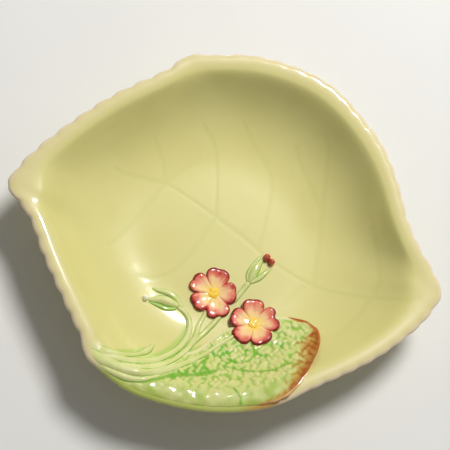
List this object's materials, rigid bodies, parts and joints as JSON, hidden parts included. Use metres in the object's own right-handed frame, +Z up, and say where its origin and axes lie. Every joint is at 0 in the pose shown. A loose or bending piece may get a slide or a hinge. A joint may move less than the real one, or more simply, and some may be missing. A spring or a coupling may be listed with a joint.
{
  "type": "leaf-shaped dish",
  "caption": "Leaf-shaped glazed dish with a scalloped lip, a low foot ring and a moulded spray of a leaf, stems, buds and flowers over one side of the bowl.",
  "frame": {"origin": "on the surface that the dish stands on, under the middle of its outline", "axes": "+X from the left leaf tip to the right one; +Y from the moulded spray's side to the plain side; +Z up"},
  "size_m": [0.25, 0.21, 0.0426],
  "materials": {
    "pale_glaze": "pale yellow-green gloss glaze, thinner and cream on the rim's edge",
    "leaf_glaze": "green and brown gloss glaze, pooled in the moulded veins",
    "stem_glaze": "green gloss glaze over cream",
    "petal_glaze": "crimson gloss glaze fading to cream",
    "white_glaze": "cream gloss glaze",
    "eye_glaze": "golden yellow gloss glaze"
  },
  "bodies": {
    "root": {"dish_body": "pale_glaze", "foot_ring": "pale_glaze", "leaf_blade": "leaf_glaze", "leaf_stalk": "stem_glaze", "left_bud_stem": "stem_glaze", "left_flower_stem": "stem_glaze", "right_bud_stem": "stem_glaze", "right_bud_stem_tail": "stem_glaze", "right_flower_stem": "stem_glaze", "bract": "stem_glaze", "left_bud_calyx": "stem_glaze", "left_bud_petals": "white_glaze", "right_bud_calyx": "stem_glaze", "right_bud_petals": "petal_glaze", "left_flower_petals": "petal_glaze", "left_flower_eye": "eye_glaze", "right_flower_petals": "petal_glaze", "right_flower_eye": "eye_glaze"}
  },
  "joints": []
}
